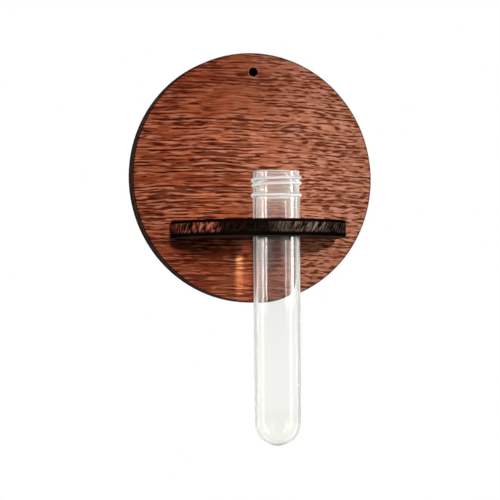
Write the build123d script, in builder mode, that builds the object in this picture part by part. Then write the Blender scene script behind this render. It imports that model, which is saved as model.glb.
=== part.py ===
from build123d import *

import os

# Wall-hung test tube vase: a round board with a small shelf that carries a clear screw-neck tube.
# Origin: centre of the hanging hole, on the board's rear face. +X right, +Y into the wall, +Z up.

os.makedirs("parts", exist_ok=True)

# Driving dimensions, in millimetres and degrees

# Three-ply sheet that the plate and the shelf are cut from
board_thickness = 9.5
face_ply_thickness = 1.7
edge_break = 0.3

# Round back plate, its hanging hole, and the drop from its centre to the top of the shelf
plate_diameter = 140.0
hanging_hole_diameter = 5.2
hanging_hole_inset = 10.6
shelf_drop = 24.8

# Shelf: short straight sides, then one arc round the front
shelf_width = 96.8
shelf_straight_side = 8.1
shelf_front_margin = 3.9

# Two tenons at the back of the shelf, glued through mortises in the plate
tenon_width = 18.0
tenon_spacing = 48.0
tenon_clearance = 0.1
tenon_setback = 0.2

# Tube body: round-ended, wedged in the hole in the shelf; the taper is the diameter lost by its end
tube_stand_off = 39.8
tube_length = 148.0
tube_wall = 1.3
tube_diameter = 25.45
tube_taper = 0.65
tube_seat_clearance = 0.1

# Tube neck: a rounded lip, a short coarse thread and a round bead below it
neck_inset = 0.3
lip_round = 0.55
bead_below_lip = 13.1
bead_rise = 1.3
bead_width = 2.8
bead_above_shelf = 11.5
thread_rise = 1.3
thread_below_lip = 3.2
thread_pitch = 3.0
thread_turns = 1.67
thread_start_angle = 150.0
thread_width = 2.6
root_sink = 0.4

# Heights and depths that follow from the driving dimensions
plate_radius = plate_diameter / 2
plate_center_z = hanging_hole_inset - plate_radius
plate_front_y = -board_thickness
core_thickness = board_thickness - 2 * face_ply_thickness

shelf_top_z = plate_center_z - shelf_drop
shelf_bottom_z = shelf_top_z - board_thickness
shelf_middle_z = (shelf_top_z + shelf_bottom_z) / 2

tube_y = plate_front_y - tube_stand_off
bead_z = shelf_top_z + bead_above_shelf + bead_width / 2
lip_z = bead_z + bead_below_lip
tube_bottom_z = lip_z - tube_length
tube_top_radius = tube_diameter / 2
tube_end_radius = tube_top_radius - tube_taper / 2
neck_radius = tube_top_radius - neck_inset
root_radius = neck_radius - root_sink
bore_radius = neck_radius - tube_wall
inner_end_radius = tube_end_radius - tube_wall
inner_top_radius = tube_top_radius - tube_wall
round_end_z = tube_bottom_z + tube_end_radius
lip_fillet = min(lip_round, 0.45 * tube_wall)
thread_height = thread_pitch * thread_turns
thread_bottom_z = lip_z - thread_below_lip - thread_height

# The hole takes the tube where its taper crosses the top of the shelf
taper_share = (shelf_top_z - round_end_z) / (bead_z - round_end_z)
tube_radius_at_shelf = tube_end_radius + (tube_top_radius - tube_end_radius) * taper_share
tube_hole_radius = tube_radius_at_shelf + tube_seat_clearance
shelf_depth = tube_stand_off + tube_hole_radius + shelf_front_margin


def plate_ply(front_y, thickness, broken_face=None):
    """One ply of the round plate, with the hanging hole and the two mortises cut through it."""
    with BuildPart() as ply:
        with BuildSketch(Plane.XZ.offset(-front_y)):
            with Locations((0, plate_center_z)):
                Circle(plate_radius)
            Circle(hanging_hole_diameter / 2, mode=Mode.SUBTRACT)
            with Locations((0, shelf_middle_z)):
                with GridLocations(tenon_spacing, 0, 2, 1):
                    Rectangle(
                        tenon_width + 2 * tenon_clearance,
                        board_thickness + 2 * tenon_clearance,
                        mode=Mode.SUBTRACT,
                    )
        extrude(amount=-thickness)
        if broken_face is not None:
            face = ply.faces().sort_by(Axis.Y)[broken_face]
            chamfer(face.outer_wire().edges(), edge_break)
    return ply.part


def shelf_ply(bottom_z, thickness, broken_face=None):
    """One ply of the shelf: its outline, its two tenons and the hole for the tube."""
    half_width = shelf_width / 2
    side_end_y = plate_front_y - shelf_straight_side
    front_y = plate_front_y - shelf_depth
    tenon_length = board_thickness - tenon_setback
    with BuildPart() as ply:
        with BuildSketch(Plane.XY.offset(bottom_z)):
            with BuildLine():
                Line((half_width, plate_front_y), (half_width, side_end_y))
                ThreePointArc((half_width, side_end_y), (0, front_y), (-half_width, side_end_y))
                Line((-half_width, side_end_y), (-half_width, plate_front_y))
                Line((-half_width, plate_front_y), (half_width, plate_front_y))
            make_face()
            with Locations((0, plate_front_y + tenon_length / 2)):
                with GridLocations(tenon_spacing, 0, 2, 1):
                    Rectangle(tenon_width, tenon_length)
            with Locations((0, tube_y)):
                Circle(tube_hole_radius, mode=Mode.SUBTRACT)
        extrude(amount=thickness)
        if broken_face is not None:
            face = ply.faces().sort_by(Axis.Z)[broken_face]
            rim = face.outer_wire().edges()
            chamfer(rim.filter_by(lambda edge: edge.center().Y < plate_front_y - edge_break), edge_break)
    return ply.part


# Back plate: front ply, core and rear ply
plate_front_ply = plate_ply(plate_front_y, face_ply_thickness, broken_face=0)
plate_core = plate_ply(plate_front_y + face_ply_thickness, core_thickness)
plate_rear_ply = plate_ply(-face_ply_thickness, face_ply_thickness, broken_face=-1)

# Shelf: bottom ply, core and top ply
shelf_bottom_ply = shelf_ply(shelf_bottom_z, face_ply_thickness, broken_face=0)
shelf_core = shelf_ply(shelf_bottom_z + face_ply_thickness, core_thickness)
shelf_top_ply = shelf_ply(shelf_top_z - face_ply_thickness, face_ply_thickness, broken_face=-1)

# Thread ridge, about its own axis, rising counter-clockwise from +X
with BuildPart() as thread_ridge:
    with BuildLine() as thread_path:
        Helix(pitch=thread_pitch, height=thread_height, radius=root_radius)
    with BuildSketch(Plane.XZ):
        with BuildLine():
            ThreePointArc(
                (root_radius, -thread_width / 2),
                (neck_radius + thread_rise, 0),
                (root_radius, thread_width / 2),
            )
            Line((root_radius, thread_width / 2), (root_radius, -thread_width / 2))
        make_face()
    sweep(path=thread_path.line, is_frenet=True)

# Clear tube: round end, tapered body, bead, neck and lip, hollow to the tube wall
tube_plane = Plane.XZ.offset(-tube_y)
tube_axis = Axis((0, tube_y, 0), (0, 0, 1))
with BuildPart() as test_tube:
    with BuildSketch(tube_plane):
        with BuildLine():
            CenterArc((0, round_end_z), tube_end_radius, -90, 90)
            Polyline(
                (tube_end_radius, round_end_z),
                (tube_top_radius, bead_z),
                (neck_radius, bead_z),
                (neck_radius, lip_z),
                (bore_radius, lip_z),
                (bore_radius, bead_z),
                (inner_top_radius, bead_z - bead_width),
                (inner_end_radius, round_end_z),
            )
            CenterArc((0, round_end_z), inner_end_radius, -90, 90)
            Line((0, tube_bottom_z + tube_wall), (0, tube_bottom_z))
        make_face()
    revolve(axis=tube_axis)
    fillet(test_tube.edges().group_by(Axis.Z)[-1], lip_fillet)
    with BuildSketch(tube_plane):
        with BuildLine():
            ThreePointArc(
                (root_radius, bead_z - bead_width / 2),
                (neck_radius + bead_rise, bead_z),
                (root_radius, bead_z + bead_width / 2),
            )
            Line((root_radius, bead_z + bead_width / 2), (root_radius, bead_z - bead_width / 2))
        make_face()
    revolve(axis=tube_axis)
    with Locations((0, tube_y, thread_bottom_z)):
        add(thread_ridge.part, rotation=(0, 0, thread_start_angle))

# One labelled file for each piece
pieces = {
    "plate_front_ply": plate_front_ply,
    "plate_core": plate_core,
    "plate_rear_ply": plate_rear_ply,
    "shelf_bottom_ply": shelf_bottom_ply,
    "shelf_core": shelf_core,
    "shelf_top_ply": shelf_top_ply,
    "test_tube": test_tube.part,
}
for name, piece in pieces.items():
    piece.label = name
    export_step(piece, f"parts/{name}.step")
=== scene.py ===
import math
from collections import namedtuple

import bpy
from mathutils import Matrix, Vector


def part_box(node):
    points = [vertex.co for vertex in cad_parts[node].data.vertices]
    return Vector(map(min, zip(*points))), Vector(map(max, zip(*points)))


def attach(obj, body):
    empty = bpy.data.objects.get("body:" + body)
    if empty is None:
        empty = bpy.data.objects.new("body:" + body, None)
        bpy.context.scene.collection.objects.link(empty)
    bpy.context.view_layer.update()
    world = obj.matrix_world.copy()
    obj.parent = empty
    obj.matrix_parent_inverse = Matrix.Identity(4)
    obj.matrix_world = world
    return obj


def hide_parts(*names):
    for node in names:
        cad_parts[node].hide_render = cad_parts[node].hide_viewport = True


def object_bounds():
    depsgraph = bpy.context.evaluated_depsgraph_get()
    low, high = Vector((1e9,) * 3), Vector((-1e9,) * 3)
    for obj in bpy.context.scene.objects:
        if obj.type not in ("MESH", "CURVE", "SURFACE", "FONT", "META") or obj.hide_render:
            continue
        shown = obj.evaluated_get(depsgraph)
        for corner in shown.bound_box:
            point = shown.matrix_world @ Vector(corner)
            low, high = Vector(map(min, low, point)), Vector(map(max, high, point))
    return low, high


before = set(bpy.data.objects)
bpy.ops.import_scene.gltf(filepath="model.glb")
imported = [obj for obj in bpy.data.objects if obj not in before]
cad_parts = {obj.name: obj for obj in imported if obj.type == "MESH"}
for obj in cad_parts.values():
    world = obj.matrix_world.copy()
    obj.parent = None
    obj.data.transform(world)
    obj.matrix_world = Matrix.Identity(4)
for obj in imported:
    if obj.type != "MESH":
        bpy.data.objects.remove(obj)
cad_low, cad_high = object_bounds()

# Wall-hung test tube vase: charred-edge three-ply board and shelf, and a clear screw-neck tube.
# Metres, in the frame of the solids: +X right, +Y into the wall, +Z up, origin at the hanging hole.
# The materials work in millimetres.

MM = 0.001
X, Y, Z = range(3)
QUARTER_TURN = math.pi / 2
HALF_TURN = math.pi
FULL_TURN = 2 * math.pi

# Places read from the solids
PLATE_LOW, PLATE_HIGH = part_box("plate_core")
PLATE_FRONT_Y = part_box("plate_front_ply")[0].y
PLATE_CENTER_Z = (PLATE_LOW.z + PLATE_HIGH.z) / 2
PLATE_RADIUS = (PLATE_HIGH.x - PLATE_LOW.x) / 2
SHELF_LOW, SHELF_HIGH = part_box("shelf_core")
SHELF_HALF_WIDTH = (SHELF_HIGH.x - SHELF_LOW.x) / 2
SHELF_CENTER_Y = SHELF_LOW.y + SHELF_HALF_WIDTH
TUBE_LOW, TUBE_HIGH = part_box("test_tube")
TUBE_X = (TUBE_LOW.x + TUBE_HIGH.x) / 2
TUBE_Y = (TUBE_LOW.y + TUBE_HIGH.y) / 2
TUBE_BOTTOM_Z = TUBE_LOW.z
TUBE_LIP_Z = TUBE_HIGH.z

# Holes, whose sizes the boxes don't give
HANGING_HOLE_RADIUS = 2.6 * MM
TUBE_HOLE_RADIUS = 12.8 * MM


class Graph:
    """The shader nodes of one material or world, with short calls to add them."""

    NOISE_MIDDLE = 0.5

    def __init__(self, owner):
        owner.use_nodes = True
        self.tree = owner.node_tree
        self.tree.nodes.clear()

    def add(self, kind, inputs=None, **settings):
        """A new node, each of whose inputs takes a value or another node's socket."""
        node = self.tree.nodes.new(kind)
        for key, value in settings.items():
            setattr(node, key, value)
        for key, value in (inputs or {}).items():
            if isinstance(value, bpy.types.NodeSocket):
                self.tree.links.new(value, node.inputs[key])
            else:
                node.inputs[key].default_value = value
        return node

    def math(self, operation, a, b=0.0, c=0.0):
        return self.add("ShaderNodeMath", {0: a, 1: b, 2: c}, operation=operation).outputs[0]

    def plus(self, a, b):
        return self.math("ADD", a, b)

    def minus(self, a, b):
        return self.math("SUBTRACT", a, b)

    def times(self, a, b):
        return self.math("MULTIPLY", a, b)

    def times_plus(self, a, b, c):
        return self.math("MULTIPLY_ADD", a, b, c)

    def over(self, a, b):
        return self.math("DIVIDE", a, b)

    def larger(self, a, b):
        return self.math("MAXIMUM", a, b)

    def smaller(self, a, b):
        return self.math("MINIMUM", a, b)

    def square(self, a):
        return self.math("POWER", a, 2.0)

    def reach(self, a, b):
        """Length of the hypotenuse over two legs."""
        return self.math("SQRT", self.plus(self.square(a), self.square(b)))

    def step(self, value, span, ends=(0.0, 1.0)):
        """A smooth step from the first end to the second as value crosses the span."""
        inputs = {
            "Value": value,
            "From Min": span[0],
            "From Max": span[1],
            "To Min": ends[0],
            "To Max": ends[1],
        }
        return self.add("ShaderNodeMapRange", inputs, interpolation_type="SMOOTHSTEP").outputs[0]

    def ease(self, share, ends):
        """A smooth step from the first end to the second as share goes from 0 to 1."""
        return self.step(share, (0.0, 1.0), ends)

    def mix(self, share, a, b):
        """Colour a where share is 0, colour b where it is 1."""
        return self.add("ShaderNodeMix", {0: share, 6: a, 7: b}, data_type="RGBA").outputs[2]

    def noise(self, x, y, z, detail=2.0, roughness=0.5):
        place = self.add("ShaderNodeCombineXYZ", {0: x, 1: y, 2: z}).outputs[0]
        inputs = {"Vector": place, "Scale": 1.0, "Detail": detail, "Roughness": roughness}
        return self.add("ShaderNodeTexNoise", inputs).outputs[0]

    def streaks(self, along, across, depth, length, width, detail=2.0):
        """Noise in streaks of the length and width given; depth picks one layer of it."""
        return self.noise(self.over(along, length), self.over(across, width), depth, detail)

    def sway(self, value, noise, amount):
        """Value, moved up and down by noise."""
        return self.times_plus(self.minus(noise, self.NOISE_MIDDLE), amount, value)

    def coordinates(self, kind):
        """One kind of texture coordinate, as three sockets."""
        vector = self.add("ShaderNodeTexCoord").outputs[kind]
        return self.add("ShaderNodeSeparateXYZ", {0: vector}).outputs

    def millimetres(self):
        """The place on the object in millimetres, as three sockets."""
        place = self.add("ShaderNodeTexCoord").outputs["Object"]
        scaled = self.add("ShaderNodeVectorMath", {0: place, 3: 1 / MM}, operation="SCALE").outputs[0]
        return self.add("ShaderNodeSeparateXYZ", {0: scaled}).outputs

    def facing(self, axis, span):
        """1 where the surface looks along the axis, either way, and 0 where it looks well off it."""
        return self.step(self.math("ABSOLUTE", self.coordinates("Normal")[axis]), span)

    def bump(self, height, depth, strength):
        """Normal of a surface with relief, whose depth is in millimetres."""
        inputs = {"Height": height, "Distance": depth * MM, "Strength": strength}
        return self.add("ShaderNodeBump", inputs).outputs[0]

    def diffuse(self, colour):
        return self.add("ShaderNodeBsdfDiffuse", {"Color": colour}).outputs[0]

    def opaque(self, colour, roughness, sheen, normal):
        inputs = {
            "Base Color": colour,
            "Roughness": roughness,
            "Specular IOR Level": sheen,
            "Normal": normal,
        }
        return self.add("ShaderNodeBsdfPrincipled", inputs).outputs[0]

    def blend(self, share, a, b):
        """Shader a where share is 0, shader b where it is 1."""
        return self.add("ShaderNodeMixShader", {0: share, 1: a, 2: b}).outputs[0]

    def finish(self, shader):
        """Put the shader on the surface of the material or the world."""
        in_world = shader.node.type == "BACKGROUND"
        output = self.add("ShaderNodeOutputWorld" if in_world else "ShaderNodeOutputMaterial")
        self.tree.links.new(shader, output.inputs["Surface"])


def rgb(red, green, blue):
    return (red, green, blue, 1.0)


def add_material(name):
    """A new material and the graph of its nodes."""
    material = bpy.data.materials.new(name)
    return material, Graph(material)


def add_object(name, data):
    item = bpy.data.objects.new(name, data)
    bpy.context.scene.collection.objects.link(item)
    return item


def add_mesh(name, vertices, faces):
    mesh = bpy.data.meshes.new(name)
    mesh.from_pydata(vertices, [], faces)
    return add_object(name, mesh)


# Wood colours, linear: at the left and at the right of the grain. The paler right is partly the wood's own
# tone and partly painted light falling from the right.
WOOD_GROUND = (rgb(0.350, 0.081, 0.033), rgb(0.430, 0.160, 0.090))
WOOD_PALE = (rgb(0.520, 0.180, 0.100), rgb(0.590, 0.275, 0.190))
WOOD_DEEP = (rgb(0.120, 0.018, 0.005), rgb(0.210, 0.052, 0.022))
WOOD_PORE = (rgb(0.050, 0.0030, 0.0005), rgb(0.100, 0.0160, 0.0050))

# Lines of the grain, in millimetres: where left turns to right, their bow, and how far they sway
GRAIN_TURN = (-30.0, 46.0)
BOW_SHIFT = 20.0
BOW_RISE = 0.0004
SLOW_SWAY = 4.0
QUICK_SWAY = 1.5

# Dashes in rows along the grain: dark pores and pale flecks. Spacing is in millimetres and shift in rows. A
# dash begins and is full at those levels of noise.
DashRow = namedtuple("DashRow", "spacing shift seed begins full")
FINE_PORES = DashRow(spacing=1.7, shift=0.0, seed=0.0, begins=0.425, full=0.535)
BOLD_PORES = DashRow(spacing=2.9, shift=0.3, seed=23.0, begins=0.415, full=0.525)
FINE_FLECKS = DashRow(spacing=1.7, shift=0.45, seed=57.0, begins=0.430, full=0.540)
BOLD_FLECKS = DashRow(spacing=2.9, shift=0.8, seed=71.0, begins=0.430, full=0.540)

# Noise behind the dashes: its stride and stagger from row to row, its pace in each millimetre along long and
# short dashes, and what it loses in each millimetre away from the middle of a row
ROW_STRIDE = 1.7
ROW_STAGGER = 0.37
LONG_DASH_PACE = 0.10
SHORT_DASH_PACE = 0.18
SHORT_DASH_SEED = 11.0
DASH_THINNING = 0.24
HALF_ROW = 0.5

# How dashes crowd in places, left and right, and how fine hairs stir them
CROWDING = (0.85, 0.30)
HAIR_CROWDING = 0.22

# How far hairs, broad bands, pores and flecks change the colour; spans are levels of noise
HAIR_SPAN = (0.48, 0.64)
HAIR_SHARE = 0.70
BROAD_SPAN = (0.46, 0.64)
BROAD_SHARE = 0.65
PORE_SHARE = 0.96
PORE_OVER_FLECK = 0.82
FLECK_SHARE = (0.80, 0.65)
FLECK_HEIGHT = 0.5


def grain_level(g, along, across, depth):
    """Height across the grain, bent so that lines of one level bow and sway."""
    level = g.plus(across, g.times(g.square(g.plus(along, BOW_SHIFT)), BOW_RISE))
    slow = g.streaks(along, level, depth, length=40.0, width=16.0)
    quick = g.streaks(along, level, depth, length=28.0, width=3.5)
    return g.sway(g.sway(level, slow, SLOW_SWAY), quick, QUICK_SWAY)


def grain_dashes(g, along, level, depth, side, crowd, row):
    """1 inside the dashes of one set of rows, which are long on the left and short on the right."""
    rank = g.plus(g.over(level, row.spacing), row.shift)
    line = g.times(rank, ROW_STRIDE)
    start = g.times(g.math("ROUND", rank), ROW_STAGGER)
    seed = depth + row.seed
    long = g.noise(g.times_plus(along, LONG_DASH_PACE, start), line, seed, detail=1.0)
    short = g.noise(g.times_plus(along, SHORT_DASH_PACE, start), line, seed + SHORT_DASH_SEED, detail=0.6)
    mixed = g.times_plus(g.minus(short, long), side, long)
    off_row = g.times(g.math("PINGPONG", rank, HALF_ROW), row.spacing)
    value = g.times_plus(off_row, -DASH_THINNING, g.plus(mixed, crowd))
    return g.step(value, (row.begins, row.full))


def wood_grain(g, along, across, depth):
    """Colour, pore mask and height of oiled wood whose grain runs along the first axis, in millimetres."""
    level = grain_level(g, along, across, depth)
    side = g.step(along, GRAIN_TURN)
    hair = g.streaks(along, level, depth, length=16.0, width=0.7, detail=1.0)
    broad = g.streaks(along, level, depth, length=60.0, width=9.0)
    crowd = g.streaks(along, level, depth, length=40.0, width=8.0)
    crowd = g.times(g.minus(crowd, g.NOISE_MIDDLE), g.ease(side, CROWDING))
    crowd = g.sway(crowd, hair, HAIR_CROWDING)

    def dashes(row):
        return grain_dashes(g, along, level, depth, side, crowd, row)

    pore = g.larger(dashes(FINE_PORES), dashes(BOLD_PORES))
    fleck = g.larger(dashes(FINE_FLECKS), dashes(BOLD_FLECKS))
    fleck = g.times(fleck, g.times_plus(pore, -PORE_OVER_FLECK, 1.0))

    # From left to right the colours grow paler, partly as painted light falling from the right.
    deep = g.mix(side, *WOOD_DEEP)
    colour = g.mix(side, *WOOD_GROUND)
    colour = g.mix(g.step(hair, HAIR_SPAN, (0.0, HAIR_SHARE)), colour, deep)
    colour = g.mix(g.step(broad, BROAD_SPAN, (0.0, BROAD_SHARE)), colour, deep)
    colour = g.mix(g.times(pore, PORE_SHARE), colour, g.mix(side, *WOOD_PORE))
    colour = g.mix(g.times(fleck, g.ease(side, FLECK_SHARE)), colour, g.mix(side, *WOOD_PALE))
    height = g.minus(g.times(fleck, FLECK_HEIGHT), pore)
    return colour, pore, height


# Char and fibre, linear. The grey is a painted glint on the shelf's lower arris, and the grey fibre is
# partly painted sheen.
CHAR_BLACK = rgb(0.0040, 0.0025, 0.0020)
CHAR_BROWN = rgb(0.085, 0.046, 0.032)
GLINT_GREY = rgb(0.070, 0.062, 0.056)
CHAR_RIM = rgb(0.040, 0.021, 0.014)
FIBRE_RED = rgb(0.680, 0.180, 0.100)
FIBRE_GREY_SHEEN = rgb(0.310, 0.215, 0.165)

# Face plies: how squarely a surface looks along the ply's axis on its face and on its arris, and the finish
FACE_SPAN = (0.93, 0.97)
ARRIS_SPAN = (0.3, 0.5)
SCORCH_SHARE = 0.9
WOOD_ROUGHNESS = 0.5
PORE_ROUGHNESS = 0.2
PORE_DEPTH = 0.12
PORE_RELIEF = 0.6
PLATE_SHEEN = 0.02
SHELF_SHEEN = 0.0

# Plate faces, in millimetres: darkened by painted shade far above and below the middle and less so to the
# right, pale in a ring round the hole, scorched at the rim, and black in the hole
PAINTED_SHADE_WOOD = WOOD_DEEP[0]
PAINTED_SHADE_RISE = (22.0, 55.0)
PAINTED_SHADE_SHARE = 0.45
PAINTED_SHADE_ACROSS = (-10.0, 45.0)
PAINTED_SHADE_SHARE_RIGHT = 0.4
WOOD_RING_PALE = rgb(0.460, 0.290, 0.230)
PALE_RING_INSIDE = (0.0, 0.3)
PALE_RING_OUTSIDE = (0.8, 0.4)
PALE_RING_SHARE = 0.22
RIM_SCORCH = (1.0, 0.2)
HOLE_CHAR = (0.5, 1.0)

# Shelf faces, in millimetres: scorched near the rim and near the tube's hole, and darkened all over below by
# painted shade
SHELF_SCORCH = (2.5, 0.3)
SHELF_SHADE_BELOW = 0.7


def finish_face_ply(g, flat_axis, wood, scorch, edge, arris, sheen):
    """Scorched wood on the two flat faces of a ply, char on its cut edge and its arris."""
    colour, pore, height = wood
    face = g.facing(flat_axis, FACE_SPAN)
    colour = g.mix(g.times(scorch, SCORCH_SHARE), colour, CHAR_BLACK)
    cut = g.mix(g.facing(flat_axis, ARRIS_SPAN), edge, arris)
    colour = g.mix(face, cut, colour)
    roughness = g.times_plus(pore, PORE_ROUGHNESS, WOOD_ROUGHNESS)
    normal = g.bump(g.times(height, face), PORE_DEPTH, PORE_RELIEF)
    g.finish(g.opaque(colour, roughness, sheen, normal))


def plate_ply_material(name, depth):
    """A face ply of the plate, with its grain from side to side."""
    material, g = add_material(name)
    place = g.millimetres()
    colour, pore, height = wood_grain(g, place[X], place[Z], depth)
    rise = g.minus(place[Z], PLATE_CENTER_Z / MM)
    from_rim = g.minus(PLATE_RADIUS / MM, g.reach(place[X], rise))
    from_hole = g.minus(g.reach(place[X], place[Z]), HANGING_HOLE_RADIUS / MM)
    # Painted shade: darker far above and below the middle, less so to the right.
    painted_shade = g.step(g.math("ABSOLUTE", rise), PAINTED_SHADE_RISE, (0.0, PAINTED_SHADE_SHARE))
    painted_shade = g.times(painted_shade, g.step(place[X], PAINTED_SHADE_ACROSS, (1.0, PAINTED_SHADE_SHARE_RIGHT)))
    # Paler in a thin ring round the hole.
    pale_ring = g.times(g.step(from_hole, PALE_RING_INSIDE), g.step(from_hole, PALE_RING_OUTSIDE, (0.0, PALE_RING_SHARE)))
    colour = g.mix(pale_ring, g.mix(painted_shade, colour, PAINTED_SHADE_WOOD), WOOD_RING_PALE)
    scorch = g.step(from_rim, RIM_SCORCH)
    edge = g.mix(g.step(from_hole, HOLE_CHAR), CHAR_BLACK, CHAR_RIM)
    finish_face_ply(g, Y, (colour, pore, height), scorch, edge, CHAR_BLACK, PLATE_SHEEN)
    return material


def shelf_ply_material(name, depth, arris=CHAR_BLACK, shade_below=0.0):
    """A face ply of the shelf, with its grain from side to side."""
    material, g = add_material(name)
    place = g.millimetres()
    wood = wood_grain(g, place[X], place[Y], depth)
    forward = g.smaller(g.minus(place[Y], SHELF_CENTER_Y / MM), 0.0)
    from_rim = g.minus(SHELF_HALF_WIDTH / MM, g.reach(place[X], forward))
    from_axis = g.reach(place[X], g.minus(place[Y], TUBE_Y / MM))
    from_hole = g.minus(from_axis, TUBE_HOLE_RADIUS / MM)
    # Away from rim and hole, the underside is darkened by painted shade.
    scorch = g.step(g.smaller(from_rim, from_hole), SHELF_SCORCH, (shade_below, 1.0))
    finish_face_ply(g, Z, wood, scorch, CHAR_BLACK, arris, SHELF_SHEEN)
    return material


# Cut edges of the cores, in millimetres along the edge from its middle: streaks of fibre, which slant more
# and are finer to the right, in bright and dull patches
STREAK_TURN = (-20.0, 10.0)
STREAK_SLANT = (-0.35, -0.80)
STREAK_WIDTH = (1.7, 1.2)
STREAK_HEIGHT = 6.0
STREAK_SPAN = (0.45, 0.63)
BRIGHT_LENGTH = 12.0
BRIGHT_HEIGHT = 5.0
BRIGHT_SPAN = (0.30, 0.55)
BRIGHT_SHARE = (0.4, 1.0)
STREAK_DEPTH = 0.15
STREAK_RELIEF = 0.5
CORE_ROUGHNESS = 0.6
CORE_SHEEN = 0.0

# The plate's core is black near the hanging hole: distance from the hole's axis, in millimetres
CORE_HOLE_CHAR = (3.0, 6.0)

# Streaks on the shelf's core show at the left end, in red, and right of the middle, in grey, which is partly
# painted sheen. They fade towards the right end, on the tenons and at the foot.
LEFT_STREAKS = (-33.0, -41.0)
RIGHT_STREAKS = (-14.0, 4.0)
RIGHT_FADE = (16.0, 34.0)
RIGHT_FADE_SHARE = 0.35
LEAST_STREAKS = 0.05
RED_TO_GREY = (-20.0, -10.0)
TENON_FADE = (PLATE_FRONT_Y / MM - 0.5, PLATE_FRONT_Y / MM + 0.5)
TENON_SHARE = 0.15
FOOT_FADE = (SHELF_LOW.z / MM + 0.2, SHELF_LOW.z / MM + 1.6)


def edge_streaks(g, length, through, depth):
    """Streaks on a cut edge: their relief, and how much of the fibre's colour shows."""
    slanted = g.times_plus(through, g.step(length, STREAK_TURN, STREAK_SLANT), length)
    across = g.over(slanted, g.step(length, STREAK_TURN, STREAK_WIDTH))
    relief = g.noise(across, g.over(through, STREAK_HEIGHT), depth, detail=4.0, roughness=0.7)
    bright = g.streaks(length, through, depth, length=BRIGHT_LENGTH, width=BRIGHT_HEIGHT)
    return relief, g.times(g.step(relief, STREAK_SPAN), g.step(bright, BRIGHT_SPAN, BRIGHT_SHARE))


def finish_core(g, colour, relief):
    normal = g.bump(relief, STREAK_DEPTH, STREAK_RELIEF)
    g.finish(g.opaque(colour, CORE_ROUGHNESS, CORE_SHEEN, normal))


def plate_core_material(name, depth):
    """The plate's core: brown fibre on a dark rim."""
    material, g = add_material(name)
    place = g.millimetres()
    around = g.math("ARCTAN2", place[X], g.minus(place[Z], PLATE_CENTER_Z / MM))
    relief, fibre = edge_streaks(g, g.times(around, PLATE_RADIUS / MM), place[Y], depth)
    shown = g.step(g.reach(place[X], place[Z]), CORE_HOLE_CHAR)
    ground = g.mix(shown, CHAR_BLACK, CHAR_RIM)
    finish_core(g, g.mix(g.times(fibre, shown), ground, CHAR_BROWN), relief)
    return material


def shelf_core_material(name, depth):
    """The shelf's core: red fibre, and grey fibre that is partly painted sheen, on black char."""
    material, g = add_material(name)
    place = g.millimetres()
    around = g.math("ARCTAN2", place[X], g.minus(SHELF_CENTER_Y / MM, place[Y]))
    length = g.times(around, SHELF_HALF_WIDTH / MM)
    relief, fibre = edge_streaks(g, length, place[Z], depth)
    left = g.step(length, LEFT_STREAKS)
    right = g.times(g.step(length, RIGHT_STREAKS), g.step(length, RIGHT_FADE, (1.0, RIGHT_FADE_SHARE)))
    shown = g.larger(g.larger(left, right), LEAST_STREAKS)
    shown = g.times(shown, g.step(place[Y], TENON_FADE, (1.0, TENON_SHARE)))
    shown = g.times(shown, g.step(place[Z], FOOT_FADE))
    # The grey right of the middle is partly painted sheen.
    fibre_colour = g.mix(g.step(length, RED_TO_GREY), FIBRE_RED, FIBRE_GREY_SHEEN)
    finish_core(g, g.mix(g.times(fibre, shown), CHAR_BLACK, fibre_colour), relief)
    return material


def dress_solids():
    """Materials of the plies, which keep the solids' shapes; depth gives each its own layer of noise."""
    looks = {
        "plate_front_ply": plate_ply_material("plate_front_wood", depth=0.0),
        "plate_rear_ply": plate_ply_material("plate_rear_wood", depth=40.0),
        "plate_core": plate_core_material("plate_core_edge", depth=7.0),
        "shelf_top_ply": shelf_ply_material("shelf_top_wood", depth=80.0),
        # The lower shelf ply's grey arris is a painted glint.
        "shelf_bottom_ply": shelf_ply_material("shelf_bottom_wood", 120.0, GLINT_GREY, SHELF_SHADE_BELOW),
        "shelf_core": shelf_core_material("shelf_core_edge", depth=19.0),
    }
    for node, material in looks.items():
        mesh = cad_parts[node].data
        mesh.materials.clear()
        mesh.materials.append(material)


# Tube: sizes that its box doesn't give
TUBE_WALL = 1.3 * MM
TUBE_RADIUS = 12.725 * MM
TUBE_END_RADIUS = 12.4 * MM
NECK_RADIUS = 12.425 * MM
BEAD_BELOW_LIP = 13.1 * MM
BEAD_RISE = 1.3 * MM
BEAD_HALF_WIDTH = 1.25 * MM
LIP_ROUND = 0.55 * MM
THREAD_RISE = 1.3 * MM
THREAD_HALF_WIDTH = 1.1 * MM
THREAD_PITCH = 3.0 * MM
THREAD_TURNS = 1.67
THREAD_START = math.radians(150.0)
THREAD_FADE = math.radians(28.0)
THREAD_BELOW_LIP = 3.2 * MM

# Heights along the tube, and its radii inside
TUBE_END_Z = TUBE_BOTTOM_Z + TUBE_END_RADIUS
BEAD_Z = TUBE_LIP_Z - BEAD_BELOW_LIP
BEAD_LOW_Z = BEAD_Z - BEAD_HALF_WIDTH
BEAD_HIGH_Z = BEAD_Z + BEAD_HALF_WIDTH
NECK_TOP_Z = TUBE_LIP_Z - LIP_ROUND
THREAD_FOOT_Z = TUBE_LIP_Z - THREAD_BELOW_LIP - THREAD_PITCH * THREAD_TURNS
INNER_END_RADIUS = TUBE_END_RADIUS - TUBE_WALL
INNER_NECK_RADIUS = NECK_RADIUS - TUBE_WALL

# Mesh of the tube: sides all round, rows up each stretch, and a short row where a long one meets a round
TUBE_SIDES = 160
END_ROWS = 22
BODY_ROWS = 12
BEAD_ROWS = 14
LIP_ROWS = 6
NECK_ROW = 0.2 * MM
SHORT_ROW = 0.15 * MM


def smooth(value):
    """A smooth step from 0 to 1 as value goes from 0 to 1."""
    value = min(max(value, 0.0), 1.0)
    return value * value * (3 - 2 * value)


def between(first, second, share):
    """The value that lies a share of the way from the first to the second."""
    return first + (second - first) * share


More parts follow.
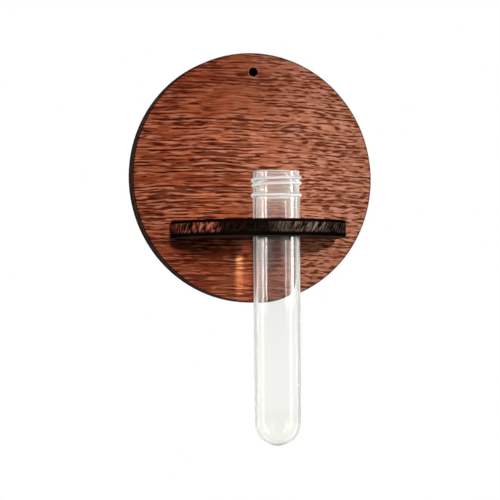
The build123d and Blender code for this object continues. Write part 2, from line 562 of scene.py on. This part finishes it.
def ridge(offset, half_width):
    """Round section of a moulded ridge: 1 at its middle, 0 at its feet."""
    share = offset / half_width
    return math.sqrt(1 - share * share) if abs(share) < 1 else 0.0


def thread_height(angle, z):
    """How far the thread stands out of the neck at one place."""
    end = THREAD_TURNS * FULL_TURN
    run = (angle - THREAD_START) % FULL_TURN
    rise = 0.0
    while run <= end:
        fade = smooth(run / THREAD_FADE) * smooth((end - run) / THREAD_FADE)
        offset = z - THREAD_FOOT_Z - THREAD_PITCH * run / FULL_TURN
        rise = max(rise, fade * THREAD_RISE * ridge(offset, THREAD_HALF_WIDTH))
        run += FULL_TURN
    return rise


def outer_rows():
    """Radius and height of each row outside: up from the round end, over the bead, to the lip."""
    rows = []
    for i in range(1, END_ROWS + 1):
        angle = QUARTER_TURN * i / END_ROWS
        rows.append((TUBE_END_RADIUS * math.sin(angle), TUBE_END_Z - TUBE_END_RADIUS * math.cos(angle)))
    body_shares = [i / BODY_ROWS for i in range(1, BODY_ROWS)]
    last_but_one = 1 - SHORT_ROW / (BEAD_LOW_Z - TUBE_END_Z)
    for share in body_shares + [last_but_one, 1.0]:
        radius = between(TUBE_END_RADIUS, TUBE_RADIUS, share)
        rows.append((radius, between(TUBE_END_Z, BEAD_LOW_Z, share)))
    for i in range(1, BEAD_ROWS):
        angle = HALF_TURN * i / BEAD_ROWS
        base = between(TUBE_RADIUS, NECK_RADIUS, i / BEAD_ROWS)
        radius = between(base, NECK_RADIUS + BEAD_RISE, math.sin(angle))
        rows.append((radius, BEAD_Z - BEAD_HALF_WIDTH * math.cos(angle)))
    neck_rows = round((NECK_TOP_Z - BEAD_HIGH_Z) / NECK_ROW)
    for i in range(neck_rows + 1):
        rows.append((NECK_RADIUS, between(BEAD_HIGH_Z, NECK_TOP_Z, i / neck_rows)))
    for i in range(1, LIP_ROWS + 1):
        angle = QUARTER_TURN * i / LIP_ROWS
        radius = NECK_RADIUS - LIP_ROUND * (1 - math.cos(angle))
        rows.append((radius, NECK_TOP_Z + LIP_ROUND * math.sin(angle)))
    return rows


def inner_rows():
    """Radius and height of each row inside: down from the lip to the round end."""
    rows = []
    for i in range(LIP_ROWS + 1):
        angle = QUARTER_TURN * i / LIP_ROWS
        radius = INNER_NECK_RADIUS + LIP_ROUND * (1 - math.sin(angle))
        rows.append((radius, NECK_TOP_Z + LIP_ROUND * math.cos(angle)))
    rows.append((INNER_NECK_RADIUS, NECK_TOP_Z - SHORT_ROW))
    for i in range(1, BODY_ROWS + 1):
        share = i / BODY_ROWS
        radius = between(INNER_NECK_RADIUS, INNER_END_RADIUS, share)
        rows.append((radius, between(NECK_TOP_Z, TUBE_END_Z, share)))
    for i in range(1, END_ROWS):
        angle = QUARTER_TURN * i / END_ROWS
        rows.append((INNER_END_RADIUS * math.cos(angle), TUBE_END_Z - INNER_END_RADIUS * math.sin(angle)))
    return rows


def build_tube():
    """The tube's mesh: rings from the pole of its round end, over the lip, to the pole inside."""
    rows = [(radius, z, True) for radius, z in outer_rows()]
    rows += [(radius, z, False) for radius, z in inner_rows()]
    vertices = [(TUBE_X, TUBE_Y, TUBE_BOTTOM_Z)]
    for radius, z, outside in rows:
        for side in range(TUBE_SIDES):
            angle = FULL_TURN * side / TUBE_SIDES
            reach = radius + (thread_height(angle, z) if outside else 0.0)
            vertices.append((TUBE_X + reach * math.cos(angle), TUBE_Y + reach * math.sin(angle), z))
    vertices.append((TUBE_X, TUBE_Y, TUBE_BOTTOM_Z + TUBE_WALL))
    first_pole = 0
    last_pole = len(vertices) - 1
    last_row = len(rows) - 1

    def corner(row, side):
        return 1 + row * TUBE_SIDES + side % TUBE_SIDES

    faces = []
    for side in range(TUBE_SIDES):
        faces.append((first_pole, corner(0, side + 1), corner(0, side)))
        for row in range(last_row):
            lower = (corner(row, side), corner(row, side + 1))
            upper = (corner(row + 1, side + 1), corner(row + 1, side))
            faces.append(lower + upper)
        faces.append((corner(last_row, side), corner(last_row, side + 1), last_pole))
    tube = add_mesh("clear_tube", vertices, faces)
    tube.data.polygons.foreach_set("use_smooth", [True] * len(faces))
    tube.data.update()
    return tube


# Clear plastic: its tint up the tube and round the end, its shade, its haze, which also paints highlights,
# and a brown spot at its tip, a painted reflection of the board
PLASTIC_IOR = 1.5
PLASTIC_TINT = rgb(0.968, 0.972, 0.948)
PLASTIC_TINT_END = rgb(0.930, 0.936, 0.908)
PLASTIC_TINT_SPAN = (TUBE_END_Z / MM + 12.0, TUBE_END_Z / MM - 4.0)
PLASTIC_SHADE = rgb(0.930, 0.935, 0.920)
PLASTIC_HAZE_AND_HIGHLIGHT = rgb(0.930, 0.920, 0.900)
HAZE_GLOW_SHARE = 0.5
TIP_BOARD_REFLECTION = rgb(0.340, 0.260, 0.200)
TIP_REFLECTION_SPAN = (TUBE_BOTTOM_Z / MM + 1.0, TUBE_BOTTOM_Z / MM + 0.4)
TIP_REFLECTION_SHARE = 0.6

# Surface of the plastic: soft spots of roughness, and drawn lines, with sizes in millimetres
SPOT_SIZE = (5.0, 5.0, 22.0)
SPOT_SPAN = (0.35, 0.75)
SPOT_ROUGHNESS = (0.015, 0.06)
LINE_SIZE = (1.6, 1.6, 400.0)
LINE_DEPTH = 0.02
LINE_RELIEF = 0.2

# Shares of haze and painted highlight: haze and painted highlight seen edge on, painted highlight on the
# crests of bead and thread and on the lip, haze up the neck and round the end
EDGE_ON_SPAN = (0.36, 0.80)
EDGE_ON_HAZE_AND_HIGHLIGHT = 0.45
CREST_SPAN = (NECK_RADIUS / MM + 1.05, (NECK_RADIUS + THREAD_RISE) / MM - 0.05)
CREST_HIGHLIGHT = 0.60
LIP_SPAN = (TUBE_LIP_Z / MM - 0.9, TUBE_LIP_Z / MM - 0.3)
LIP_HIGHLIGHT = 0.30
NECK_SPAN = (SHELF_HIGH.z / MM - 2.0, BEAD_Z / MM)
NECK_HAZE = 0.05
END_SPAN = (TUBE_END_Z / MM + 4.0, TUBE_END_Z / MM - 8.0)
END_HAZE = 0.10


def spots(g, place, sizes):
    """Noise whose spots have the size given along each axis."""
    return g.noise(*(g.over(place[axis], sizes[axis]) for axis in (X, Y, Z)))


def haze_and_highlight_share(g, place):
    """How milky the plastic looks at one place, with painted highlights on the crests, the lip and the
    edges.
    """
    radius = g.reach(g.minus(place[X], TUBE_X / MM), g.minus(place[Y], TUBE_Y / MM))
    grazing = g.add("ShaderNodeLayerWeight").outputs["Facing"]
    edge_on = g.step(grazing, EDGE_ON_SPAN, (0.0, EDGE_ON_HAZE_AND_HIGHLIGHT))
    crest = g.step(radius, CREST_SPAN, (0.0, CREST_HIGHLIGHT))
    lip = g.step(place[Z], LIP_SPAN, (0.0, LIP_HIGHLIGHT))
    neck = g.step(place[Z], NECK_SPAN, (0.0, NECK_HAZE))
    end = g.step(place[Z], END_SPAN, (0.0, END_HAZE))
    return g.plus(g.larger(g.larger(edge_on, crest), lip), g.plus(neck, end))


def tube_material():
    """Clear moulded plastic with faint haze, painted highlights and drawn lines, which lamps shine through,
    and a painted reflection of the board at its tip.
    """
    material, g = add_material("clear_plastic")
    place = g.millimetres()
    inputs = {
        "Base Color": g.mix(g.step(place[Z], PLASTIC_TINT_SPAN), PLASTIC_TINT, PLASTIC_TINT_END),
        "Roughness": g.step(spots(g, place, SPOT_SIZE), SPOT_SPAN, SPOT_ROUGHNESS),
        "IOR": PLASTIC_IOR,
        "Transmission Weight": 1.0,
        "Normal": g.bump(spots(g, place, LINE_SIZE), LINE_DEPTH, LINE_RELIEF),
    }
    clear = g.add("ShaderNodeBsdfPrincipled", inputs).outputs[0]
    glow = g.add("ShaderNodeBsdfTranslucent", {"Color": PLASTIC_HAZE_AND_HIGHLIGHT}).outputs[0]
    haze_and_highlight = g.blend(HAZE_GLOW_SHARE, g.diffuse(PLASTIC_HAZE_AND_HIGHLIGHT), glow)
    # Painted reflection: a brown spot at the tip stands for the board seen through the thick end.
    tip_reflection = g.step(place[Z], TIP_REFLECTION_SPAN, (0.0, TIP_REFLECTION_SHARE))
    # The haze paints highlights on the crests, the lip and the edges.
    seen = g.blend(haze_and_highlight_share(g, place), clear, haze_and_highlight)
    seen = g.blend(tip_reflection, seen, g.diffuse(TIP_BOARD_REFLECTION))
    shade = g.add("ShaderNodeBsdfTransparent", {"Color": PLASTIC_SHADE}).outputs[0]
    to_lamp = g.add("ShaderNodeLightPath").outputs["Is Shadow Ray"]
    g.finish(g.blend(to_lamp, seen, shade))
    return material


# Room: white to the eye. In gloss and glass it is dim in front, paler below the horizon and behind, and its
# light on surfaces is weak from the front and full from behind. Spans are a ray's course along one axis.
WHITE = rgb(1, 1, 1)
ROOM_IN_FRONT = 0.25
ROOM_BELOW = 0.65
ROOM_BEHIND = 0.75
LIGHT_IN_FRONT = 0.05
LIGHT_BEHIND = 1.0
HORIZON_SPAN = (0.0, -0.04)
ROOM_SPAN = (-0.6, 0.1)
LIGHT_SPAN = (0.2, 0.6)


def seen_in_gloss(g, path):
    """1 for mirrored rays and for rays through glass."""
    return g.larger(path["Is Glossy Ray"], path["Is Transmission Ray"])


def seen_directly(g, path):
    """1 for rays from the camera, also straight through glass; 0 for mirrored rays and for light."""
    straight = g.math("LESS_THAN", path["Glossy Depth"], 0.5)
    return g.larger(path["Is Camera Ray"], g.times(path["Is Transmission Ray"], straight))


def build_world():
    world = bpy.data.worlds.new("white_room")
    bpy.context.scene.world = world
    g = Graph(world)
    path = g.add("ShaderNodeLightPath").outputs
    course = g.coordinates("Generated")
    front = g.step(course[Z], HORIZON_SPAN, (ROOM_IN_FRONT, ROOM_BELOW))
    room = g.step(course[Y], ROOM_SPAN, (front, ROOM_BEHIND))
    light = g.step(course[Y], LIGHT_SPAN, (LIGHT_IN_FRONT, LIGHT_BEHIND))
    strength = g.ease(seen_in_gloss(g, path), (light, room))
    strength = g.ease(seen_directly(g, path), (strength, 1.0))
    g.finish(g.add("ShaderNodeBackground", {"Color": WHITE, "Strength": strength}).outputs[0])


# Floor: white far off, and a little of its own grey near the part
FLOOR_DROP = 0.30
FLOOR_SIZE = 6.0
FLOOR_GREY = rgb(0.8, 0.8, 0.8)
FLOOR_FADE = (0.25, 0.9)
FLOOR_WHITE_SHARE = (0.8, 1.0)


def build_floor():
    half = FLOOR_SIZE / 2
    z = cad_low.z - FLOOR_DROP
    corners = [(-half, -half, z), (half, -half, z), (half, half, z), (-half, half, z)]
    floor = add_mesh("floor", corners, [(0, 1, 2, 3)])
    material, g = add_material("pale_floor")
    white = g.add("ShaderNodeEmission", {"Color": WHITE, "Strength": 1.0}).outputs[0]
    place = g.coordinates("Object")
    fade = g.step(g.reach(place[X], place[Y]), FLOOR_FADE, FLOOR_WHITE_SHARE)
    path = g.add("ShaderNodeLightPath").outputs
    seen = g.larger(path["Is Camera Ray"], seen_in_gloss(g, path))
    g.finish(g.blend(g.times(seen, fade), g.diffuse(FLOOR_GREY), white))
    floor.data.materials.append(material)
    floor.visible_diffuse = False
    return floor


# Painted shadow: a black patch stands for the wall in shade seen through the hanging hole, just inside its
# rear end, with its rim in the wood
HOLE_SHADOW_BLACK = rgb(0.002, 0.002, 0.002)
SHADOW_PATCH_SIDES = 32
SHADOW_PATCH_RADIUS = HANGING_HOLE_RADIUS + 0.1 * MM
SHADOW_PATCH_Y = -0.4 * MM


def build_hole_shadow():
    ring = []
    for i in range(SHADOW_PATCH_SIDES):
        angle = FULL_TURN * i / SHADOW_PATCH_SIDES
        x = SHADOW_PATCH_RADIUS * math.cos(angle)
        z = SHADOW_PATCH_RADIUS * math.sin(angle)
        ring.append((x, SHADOW_PATCH_Y, z))
    patch = add_mesh("hole_shadow_patch", ring, [tuple(range(SHADOW_PATCH_SIDES))])
    # Its black is painted shadow.
    material, g = add_material("painted_hole_shadow")
    g.finish(g.diffuse(HOLE_SHADOW_BLACK))
    patch.data.materials.append(material)


# Lamps aim at places on the plate's front: its middle, the key lamp's own, and the shadow right of the tube
PLATE_MIDDLE = Vector((0.0, PLATE_FRONT_Y, PLATE_CENTER_Z))
KEY_TARGET = Vector((17 * MM, PLATE_FRONT_Y, -46 * MM))
KEY_SPREAD = math.radians(20.0)
FILL_TARGET = Vector((36 * MM, PLATE_FRONT_Y, SHELF_LOW.z - 4 * MM))
FILL_SPREAD = math.radians(2.5)

# Line of light that the tube throws on the plate, and the glow beside it: shift from the tube's axis, drop
# from the foot of the shelf's core, and length in millimetres, spread in degrees
TubeLight = namedtuple("TubeLight", "name shift drop length spread power tint")
TUBE_LINE = TubeLight(
    "tube_line", shift=-8.9, drop=22.3, length=22.0, spread=38.0, power=0.00100, tint=(0.70, 1.0, 0.84),
)
TUBE_GLOW = TubeLight(
    "tube_glow", shift=-4.9, drop=20.0, length=30.0, spread=50.0, power=0.00045, tint=(1.0, 0.80, 0.70),
)
TUBE_LIGHT_ANGLES = (13, 0)
TUBE_LIGHT_DISTANCE = 9 * MM
TUBE_LIGHT_WIDTH = 1.2 * MM


def add_lamp(name, target, angles, distance, size, power):
    """A soft rectangular lamp aimed at the target, with its size and distance in metres and power in watts.

    Its angles seen from the target are azimuth, 0 in front and 90 at the right, and elevation, in degrees.
    """
    azimuth, elevation = (math.radians(angle) for angle in angles)
    level = math.cos(elevation)
    back = Vector((math.sin(azimuth) * level, -math.cos(azimuth) * level, math.sin(elevation)))
    data = bpy.data.lights.new(name, "AREA")
    data.shape = "RECTANGLE"
    data.size, data.size_y = size
    data.energy = power
    lamp = add_object(name, data)
    lamp.location = target + back * distance
    lamp.rotation_mode = "QUATERNION"
    lamp.rotation_quaternion = (-back).to_track_quat("-Z", "Y")
    return lamp


def build_light(floor):
    """Lamps that light surfaces and don't show in gloss; the last lights only the floor."""
    key = add_lamp("key", KEY_TARGET, (3, 10), distance=1.2, size=(0.16, 0.16), power=0.224)
    key.data.spread = KEY_SPREAD
    fill = add_lamp("fill", FILL_TARGET, (55, -3), distance=1.0, size=(0.02, 0.02), power=0.0006)
    fill.data.spread = FILL_SPREAD
    top = add_lamp("top", PLATE_MIDDLE, (8, 55), distance=0.8, size=(0.5, 0.3), power=0.25)
    rim = add_lamp("rim_light", PLATE_MIDDLE, (-100, 4), distance=0.8, size=(0.3, 0.6), power=1.4)
    below = add_lamp("floor_light", PLATE_MIDDLE, (10, 70), distance=1.2, size=(0.5, 0.5), power=19.0)
    only_floor = bpy.data.collections.new("only_floor")
    only_floor.objects.link(floor)
    below.light_linking.receiver_collection = only_floor
    for lamp in (key, fill, top, rim, below):
        lamp.visible_glossy = False


def build_gloss_panels():
    """Panels that show in gloss and in the clear plastic, and don't light surfaces."""
    panels = (
        add_lamp("strip_left", PLATE_MIDDLE, (-70, 25), distance=1.0, size=(0.10, 1.1), power=5.8),
        add_lamp("strip_right", PLATE_MIDDLE, (66, 25), distance=1.0, size=(0.24, 1.1), power=12.5),
        add_lamp("wall_left", PLATE_MIDDLE, (-95, 25), distance=1.0, size=(1.0, 1.1), power=3.8),
        add_lamp("wall_right", PLATE_MIDDLE, (24, 25), distance=1.1, size=(0.8, 1.1), power=1.6),
        add_lamp("wall_above", PLATE_MIDDLE, (180, 76), distance=0.7, size=(0.9, 0.3), power=3.0),
    )
    for panel in panels:
        panel.visible_diffuse = False


def build_tube_lights(tube):
    """Small lamps close to the plate, which go with the tube."""
    for light in (TUBE_LINE, TUBE_GLOW):
        target = Vector((TUBE_X + light.shift * MM, PLATE_FRONT_Y, SHELF_LOW.z - light.drop * MM))
        size = (TUBE_LIGHT_WIDTH, light.length * MM)
        lamp = add_lamp(light.name, target, TUBE_LIGHT_ANGLES, TUBE_LIGHT_DISTANCE, size, light.power)
        lamp.data.color = light.tint
        lamp.data.spread = math.radians(light.spread)
        lamp.visible_glossy = False
        lamp.visible_transmission = False
        lamp.parent = tube


# Camera, fitted to the photograph: place in metres, turns in radians, focal length in pixels of the frame
CAMERA_PLACE = Vector((-0.3202, -1.0238, -0.1233))
CAMERA_YAW = 0.3034
CAMERA_PITCH = 0.022
CAMERA_ROLL = -0.0066
FOCAL_PIXELS = 1900.0
FRAME_PIXELS = 500.0
SENSOR_WIDTH = 36.0


def build_camera():
    forward = Vector((
        math.sin(CAMERA_YAW) * math.cos(CAMERA_PITCH),
        math.cos(CAMERA_YAW) * math.cos(CAMERA_PITCH),
        math.sin(CAMERA_PITCH),
    ))
    right = Vector((math.cos(CAMERA_YAW), -math.sin(CAMERA_YAW), 0.0))
    up = right.cross(forward)
    turned_right = right * math.cos(CAMERA_ROLL) + up * math.sin(CAMERA_ROLL)
    turned_up = up * math.cos(CAMERA_ROLL) - right * math.sin(CAMERA_ROLL)
    data = bpy.data.cameras.new("camera")
    data.sensor_width = SENSOR_WIDTH
    data.lens = SENSOR_WIDTH * FOCAL_PIXELS / FRAME_PIXELS
    camera = add_object("camera", data)
    turn = Matrix((turned_right, turned_up, -forward)).transposed()
    camera.matrix_world = Matrix.Translation(CAMERA_PLACE) @ turn.to_4x4()
    bpy.context.scene.camera = camera


dress_solids()
tube = build_tube()
tube.data.materials.append(tube_material())
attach(tube, "tube")
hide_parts("test_tube")
build_world()
floor = build_floor()
build_hole_shadow()
build_light(floor)
build_gloss_panels()
build_tube_lights(tube)
build_camera()
bpy.context.scene.view_settings.view_transform = "Standard"
